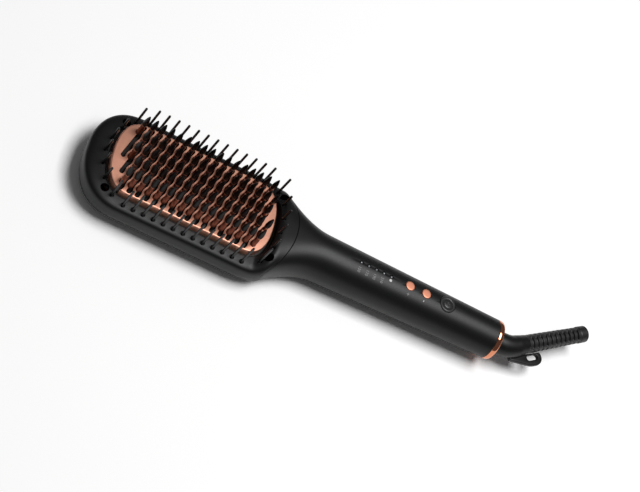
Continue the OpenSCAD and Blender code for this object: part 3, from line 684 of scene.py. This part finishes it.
def on_cover(x, across, proud=0.05):
    """A point of the cover's surface, at a distance round it from its highest line."""
    turn = across / handle_radius(x)
    return Vector((x, (handle_radius(x) + proud) * math.sin(turn),
                   handle_axis(x) + (handle_radius(x) + proud) * math.cos(turn)))


INK_DEPTH = 0.09


def print_mark(name, words, height, x, across, finish):
    """Prints plain figures or signs that read toward the near side of the cover."""
    text = bpy.data.curves.new(name, "FONT")
    text.body = words
    text.size = height
    text.align_x = text.align_y = "CENTER"
    text.resolution_u = 3
    flat = bpy.data.objects.new(name + "_flat", text)
    bpy.context.scene.collection.objects.link(flat)
    mesh = bpy.data.meshes.new_from_object(flat.evaluated_get(bpy.context.evaluated_depsgraph_get()))
    bpy.data.objects.remove(flat)
    for corner in mesh.vertices:
        corner.co = on_cover(x + corner.co.y, across - corner.co.x) / 1000
    work = bmesh.new()
    work.from_mesh(mesh)
    body = bmesh.ops.extrude_face_region(work, geom=work.faces[:])
    for corner in (v for v in body["geom"] if isinstance(v, bmesh.types.BMVert)):
        corner.co.z -= INK_DEPTH / 1000
    bmesh.ops.recalc_face_normals(work, faces=work.faces)
    work.to_mesh(mesh)
    work.free()
    mesh.materials.clear()
    mesh.materials.append(finish)
    mark = bpy.data.objects.new(name, mesh)
    bpy.context.scene.collection.objects.link(mark)
    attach(mark, "casing")


for k, figures in enumerate(("150", "170", "190", "210")):
    print_mark("mark_" + figures, figures, 2.9, LAMP_SPOTS[k] - 0.4, -5.6, printed_grey)
dot_place = Matrix.Translation(on_cover(LAMP_SPOTS[4] - 0.2, -3.1, 0)) @ Matrix.Rotation(3.1 / 16.5, 4, "X")
lock_dot = add_piece("mark_hold", turned([(1.0, -0.04), (1.0, 0.05), (0.6, 0.05)], dot_place, 24))
fit(lock_dot, printed_white, "casing", "lamp_chip")
print_mark("mark_plus", "+", 4.2, PLUS_X - 0.2, -6.4, printed_grey)
print_mark("mark_minus", "-", 5.0, MINUS_X - 0.2, -6.0, printed_white)


# ---------------------------------------------------------------- buttons
# Two small buttons with a copper-coloured plated cap and one larger black one with an engraved
# ring and on-off sign. Each is pushed in from inside, is kept by its flange, and stands on a
# foot over its switch.
# Copper-coloured plating on ABS, satin: a little deeper in colour than the heater plate.
plated_copper = new_finish("satin_copper_plating_on_abs", "#e39a7d", 0.5, 1.0)
grain(plated_copper, 0.5, 0.004, ("#dd9274", "#e9a388"), (0.46, 0.56))
BOARD_TOP, SWITCH_HEIGHT, PLUNGER_HEIGHT, BUTTON_TRAVEL = 21.8, 3.4, 0.5, 0.5
FLANGE_REACH, FLANGE_THICKNESS = 0.9, 0.9


def button_profile(x, radius, face):
    """A button's half section: foot, flange, then the face given from its rim to its middle."""
    top = cover_top(x) + 0.35
    wide = radius + FLANGE_REACH
    flange = ROOM_AXIS + math.sqrt(ROOM_RADIUS ** 2 - wide ** 2) - 0.4
    under = flange - FLANGE_THICKNESS
    foot = BOARD_TOP + SWITCH_HEIGHT + PLUNGER_HEIGHT + BUTTON_TRAVEL + 0.05
    return [(0, foot), (1.8, foot), (1.8, under), (wide, under), (wide, flange), (radius, flange)] + [
        (r, top + h) for r, h in face]


small_face = [(3.5, -0.62), (3.44, -0.4), (3.28, -0.2), (3.0, -0.08), (2.5, -0.04), (1.6, -0.02), (0, 0)]
for name, x in (("plus", PLUS_X), ("minus", MINUS_X)):
    button = add_piece(name + "_cap", turned(
        button_profile(x, 3.5, small_face), Matrix.Translation((x, 0, 0)), 56))
    fit(button, plated_copper, name, "copper_button", name + "_button", crease=40)

power_face = [(6, -0.7), (5.93, -0.42), (5.7, -0.2), (5.3, -0.1), (3.85, -0.05), (3.75, -0.12), (3.7, -0.42),
              (3.25, -0.42), (3.2, -0.12), (3.1, -0.05), (1.5, -0.02), (0, 0)]
power_cap = add_piece("power_cap", turned(
    button_profile(POWER_X, 6, power_face), Matrix.Translation((POWER_X, 0, 0)), 72))
sign_height = cover_top(POWER_X) + 0.3 + 0.03
sign_arc = [Vector((POWER_X + 1.25 * math.cos(a), 1.25 * math.sin(a), sign_height))
            for a in (math.radians(d) for d in steps_between(40, 320, 14))]
carve(power_cap, tube(sign_arc, 0.2, 8))
carve(power_cap, tube([Vector((POWER_X + u, 0, sign_height)) for u in (0.3, 1.7)], 0.2, 8))
# Moulded ABS, satin: the black of the shells with a little more gloss.
satin_abs = new_finish("satin_black_abs", "#1b1b1c", 0.38, IOR=1.53)
grain(satin_abs, 0.6, 0.004, ("#18181a", "#1f1f20"), (0.34, 0.44))
fit(power_cap, satin_abs, "power", "black_button", "power_button", crease=40)


# ---------------------------------------------------------------- end ring
# A turned ring with polished copper-coloured plating closes the handle. It is pushed over the
# bushing and reflects its surroundings sharply, with a bright line along both bevels.
polished_copper = new_finish("polished_copper_plating", "#d98c69", 0.08, 1.0)
grain(polished_copper, 1.5, 0.002, ("#d38562", "#df9473"), (0.06, 0.11))
ring_profile = [(BUSHING_RADIUS, 0), (14.0, 0), (14.3, 0.08), (14.46, 0.26), (14.5, 0.5), (14.5, 2.0),
                (14.42, 2.8), (14.2, 3.4), (13.9, 3.8), (13.6, 3.97), (13.3, 4.0), (BUSHING_RADIUS, 4.0)]
RING_STEPS = 128
ring_points, ring_faces = turned(ring_profile, x_axis_at(HANDLE_END + 0.1, END_AXIS), RING_STEPS)
# The two end faces give way to the ring's bore
far_side = RING_STEPS * (len(ring_profile) - 1)
ring_bore = [(i, j, far_side + j, far_side + i) for i, j in (
    (i, (i + 1) % RING_STEPS) for i in range(RING_STEPS))]
end_ring = add_piece("copper_end_ring", (ring_points, ring_faces[2:] + ring_bore))
fit(end_ring, polished_copper, "casing", "copper_ring", "end_ring")


# ---------------------------------------------------------------- turning cord outlet
# The cord leaves through an elbow that turns in the bushing. It is moulded in one with its
# journal and the hanging loop, in the same soft-touch black as the shells.
BEND, BEND_X, BEND_REACH, SOCKET_RUN = math.radians(34.5), 249.0, 7.0, 15
relief_way = Vector((math.cos(BEND), math.sin(BEND), 0))
relief_side = Vector((-math.sin(BEND), math.cos(BEND), 0))
bend_spot = Vector((BEND_X, 0, END_AXIS))
bend_radius = BEND_REACH / math.tan(BEND / 2)


def round_section(spot, way, radius, steps=64):
    """A round section square to its way, which lies level."""
    side = Vector((-way.y, way.x, 0))
    return [spot + radius * (math.cos(a) * side + math.sin(a) * Vector((0, 0, 1)))
            for a in round_turns(steps)]


JOURNAL_RADIUS, BEND_START, ELBOW_RADIUS = 6.5, BEND_X - BEND_REACH, 8.3
# The journal with its clip groove, then the shoulder and the elbow
sections = [(219.2, JOURNAL_RADIUS), (223.2, JOURNAL_RADIUS), (223.2, 5.3), (224.4, 5.3),
            (224.4, JOURNAL_RADIUS), (236.95, JOURNAL_RADIUS), (237.0, 7.9), (237.3, 8.25),
            (BEND_START, ELBOW_RADIUS)]
elbow_rings = [round_section(Vector((x, 0, END_AXIS)), Vector((1, 0, 0)), r) for x, r in sections]
for k in range(1, 15):
    turn = BEND * k / 14
    spot = Vector((BEND_START + bend_radius * math.sin(turn), bend_radius * (1 - math.cos(turn)), END_AXIS))
    elbow_rings.append(round_section(
        spot, Vector((math.cos(turn), math.sin(turn), 0)), mix(ELBOW_RADIUS, 7.75, ease(turn / BEND))))
for along_relief, r in ((9, 7.45), (12, 7.1), (14, 6.95), (14.7, 6.85), (SOCKET_RUN, 6.6)):
    elbow_rings.append(round_section(bend_spot + along_relief * relief_way, relief_way, r))


def arc(u, v, radius, first, last, step):
    """Points on a round in the loop's plane, from one angle to another in degrees."""
    return [(u + radius * math.cos(a), v + radius * math.sin(a))
            for a in (math.radians(d) for d in range(first, last, step))]


# The loop is a flat web beside the relief, given along and across it, with a long hole at its end
loop_edge = [(0, -2), (0, -8), (4.2, -9.9), (8.7, -11.8), (12.6, -13.4), (16, -14.7), (18.5, -15.15)]
loop_edge += arc(22.3, -9.2, 6, -90, 32, 8) + [(15, -6.1), (15, -3), (12, -2)]
loop_hole = arc(22.6, -9.2, 1.9, -90, 91, 12) + arc(17, -9.2, -1.9, -90, 91, 12)
loop_sheet = bpy.data.curves.new("loop_sheet", "CURVE")
loop_sheet.dimensions = "2D"
loop_sheet.fill_mode = "BOTH"
loop_sheet.extrude = 0.8
loop_sheet.bevel_depth = 0.8
loop_sheet.offset = -0.8
loop_sheet.bevel_resolution = 4
for edge in (loop_edge, loop_hole):
    line = loop_sheet.splines.new("POLY")
    line.points.add(len(edge) - 1)
    line.use_cyclic_u = True
    for point, (u, v) in zip(line.points, edge):
        point.co = (u, v, 0, 1)
flat = bpy.data.objects.new("loop_flat", loop_sheet)
bpy.context.scene.collection.objects.link(flat)
loop_mesh = bpy.data.meshes.new_from_object(flat.evaluated_get(bpy.context.evaluated_depsgraph_get()))
bpy.data.objects.remove(flat)
loop_work = bmesh.new()
loop_work.from_mesh(loop_mesh)
bmesh.ops.remove_doubles(loop_work, verts=loop_work.verts, dist=0.001)
loop_points = [bend_spot + v.co.x * relief_way + v.co.y * relief_side + Vector((0, 0, v.co.z - 4.6))
               for v in loop_work.verts]
loop_faces = [tuple(v.index for v in face.verts) for face in loop_work.faces]
loop_work.free()
elbow = add_piece("turning_elbow", together([skin(elbow_rings), (loop_points, loop_faces)]))
fit(elbow, soft_touch_lacquer, "outlet", "soft_black_shell", "swivel_elbow")


# ---------------------------------------------------------------- cord relief
# The strain relief is overmoulded on the elbow: flexible PVC that bends because short slots cut
# its four sides by turns, so ridges show along its edges and dark slots along its faces.
# Plasticised PVC, moulded: matt black, slightly greasy.
flexible_pvc = new_finish("flexible_black_pvc", "#151515", 0.45, IOR=1.52)
grain(flexible_pvc, 0.6, 0.008, ("#121212", "#1b1b1b"), (0.4, 0.52))


RELIEF_RUN, END_COLLAR, FIRST_SLOT, SLOTS, BORE_RADIUS = 56, 7, 2, 11, 3.1


def slot_cut(along_relief, shift):
    """How far into a slot a place along the relief lies, from 0 on a ridge to 1 in a slot."""
    pitch = (RELIEF_RUN - END_COLLAR - FIRST_SLOT) / SLOTS
    place = (along_relief - FIRST_SLOT - shift * pitch) % pitch
    if not FIRST_SLOT + shift * pitch <= along_relief <= FIRST_SLOT + (SLOTS - 0.6 + shift) * pitch:
        return 0
    return ease(place / 0.35) * ease((2.0 - place) / 0.35)


relief_turns = round_turns(72)


def relief_point(along_relief, radius, turn):
    return (bend_spot + (SOCKET_RUN + along_relief) * relief_way
            + radius * (math.cos(turn) * Vector((0, 0, 1)) + math.sin(turn) * relief_side))


relief_rings = []
for along_relief in steps_between(0, RELIEF_RUN, 0.25):
    ring = []
    collar = (ease((along_relief - RELIEF_RUN + END_COLLAR) / 0.5) * 0.3
              - 0.5 * ease((along_relief - RELIEF_RUN + 0.6) / 0.6))
    for turn in relief_turns:
        off_face = abs((math.degrees(turn) + 15 + 90) % 180 - 90)
        on_face = 1 - ease((off_face - 36) / 8)
        on_edge = ease((off_face - 52) / 6)
        radius = mix(6.7, 5.7, along_relief / RELIEF_RUN) + collar
        radius -= 1.1 * on_face * slot_cut(along_relief, 0) + 0.75 * on_edge * slot_cut(along_relief, 0.35)
        ring.append(relief_point(along_relief, radius, turn))
    relief_rings.append(ring)
for along_relief in (RELIEF_RUN, RELIEF_RUN - 20):
    relief_rings.append([relief_point(along_relief, BORE_RADIUS, turn) for turn in relief_turns])
relief = add_piece("ribbed_relief", skin(relief_rings))
fit(relief, flexible_pvc, "outlet", "relief_rubber", "cord_relief", crease=50)


# ---------------------------------------------------------------- floor, light and camera
# A plain white floor in a dim room, lit by one soft box straight above the brush: its glow runs
# along the top of the handle and the near sides stay dark. Metal and the camera see a whiter floor.
floor = add_piece("floor", block(-3000, 3000, -3000, 3000, -10, 0))
floor_white = new_finish("matt_white_floor", "#ffffff", 0.9)
floor_shader = floor_white.node_tree.nodes["Principled BSDF"]
rays = add_node(floor_white, "ShaderNodeLightPath", {}, {})
seen = add_node(floor_white, "ShaderNodeMath", {"operation": "MAXIMUM"}, {
    0: rays.outputs["Is Camera Ray"], 1: rays.outputs["Is Glossy Ray"]})
seen = add_node(floor_white, "ShaderNodeMath", {"operation": "MAXIMUM"}, {
    0: seen.outputs[0], 1: rays.outputs["Is Transmission Ray"]})
shade = add_node(floor_white, "ShaderNodeMix", {"data_type": "FLOAT"}, {
    "Factor": seen.outputs[0], "A": 0.55, "B": 1.16})
floor_white.node_tree.links.new(shade.outputs["Result"], floor_shader.inputs["Base Color"])
floor.data.materials.append(floor_white)

world = bpy.data.worlds.new("dim_room")
bpy.context.scene.world = world
world.use_nodes = True
world.node_tree.nodes["Background"].inputs["Color"].default_value = linear("#ffffff")
world.node_tree.nodes["Background"].inputs["Strength"].default_value = 0.12


def soft_box(name, way, distance, width, height, power):
    """A rectangular soft box that looks at the middle of the brush."""
    lamp = bpy.data.lights.new(name, "AREA")
    lamp.shape = "RECTANGLE"
    lamp.size, lamp.size_y, lamp.energy = width, height, power
    box = bpy.data.objects.new(name, lamp)
    bpy.context.scene.collection.objects.link(box)
    middle = Vector((0.09, 0, 0))
    box.location = middle + Vector(way).normalized() * distance
    box.rotation_euler = (middle - box.location).to_track_quat("-Z", "Y").to_euler()


soft_box("overhead_soft_box", way=(0.25, 0.0, 0.955), distance=2.0, width=1.2, height=0.9, power=34)

# A long lens on the tip's near side, looking down at the brush
camera = bpy.data.cameras.new("camera")
camera.sensor_width = 36
camera.lens = 99.62
camera.clip_start = 0.01
camera_stand = bpy.data.objects.new("camera", camera)
bpy.context.scene.collection.objects.link(camera_stand)
turned_to = Matrix(((0.863, 0.1931, 0.4668), (-0.4172, 0.7935, 0.443), (-0.2849, -0.5771, 0.7654)))
camera_stand.matrix_world = Matrix.Translation((-0.2454, -0.6813, 0.9339)) @ turned_to.transposed().to_4x4()
bpy.context.scene.camera = camera_stand
bpy.context.scene.view_settings.view_transform = "Standard"
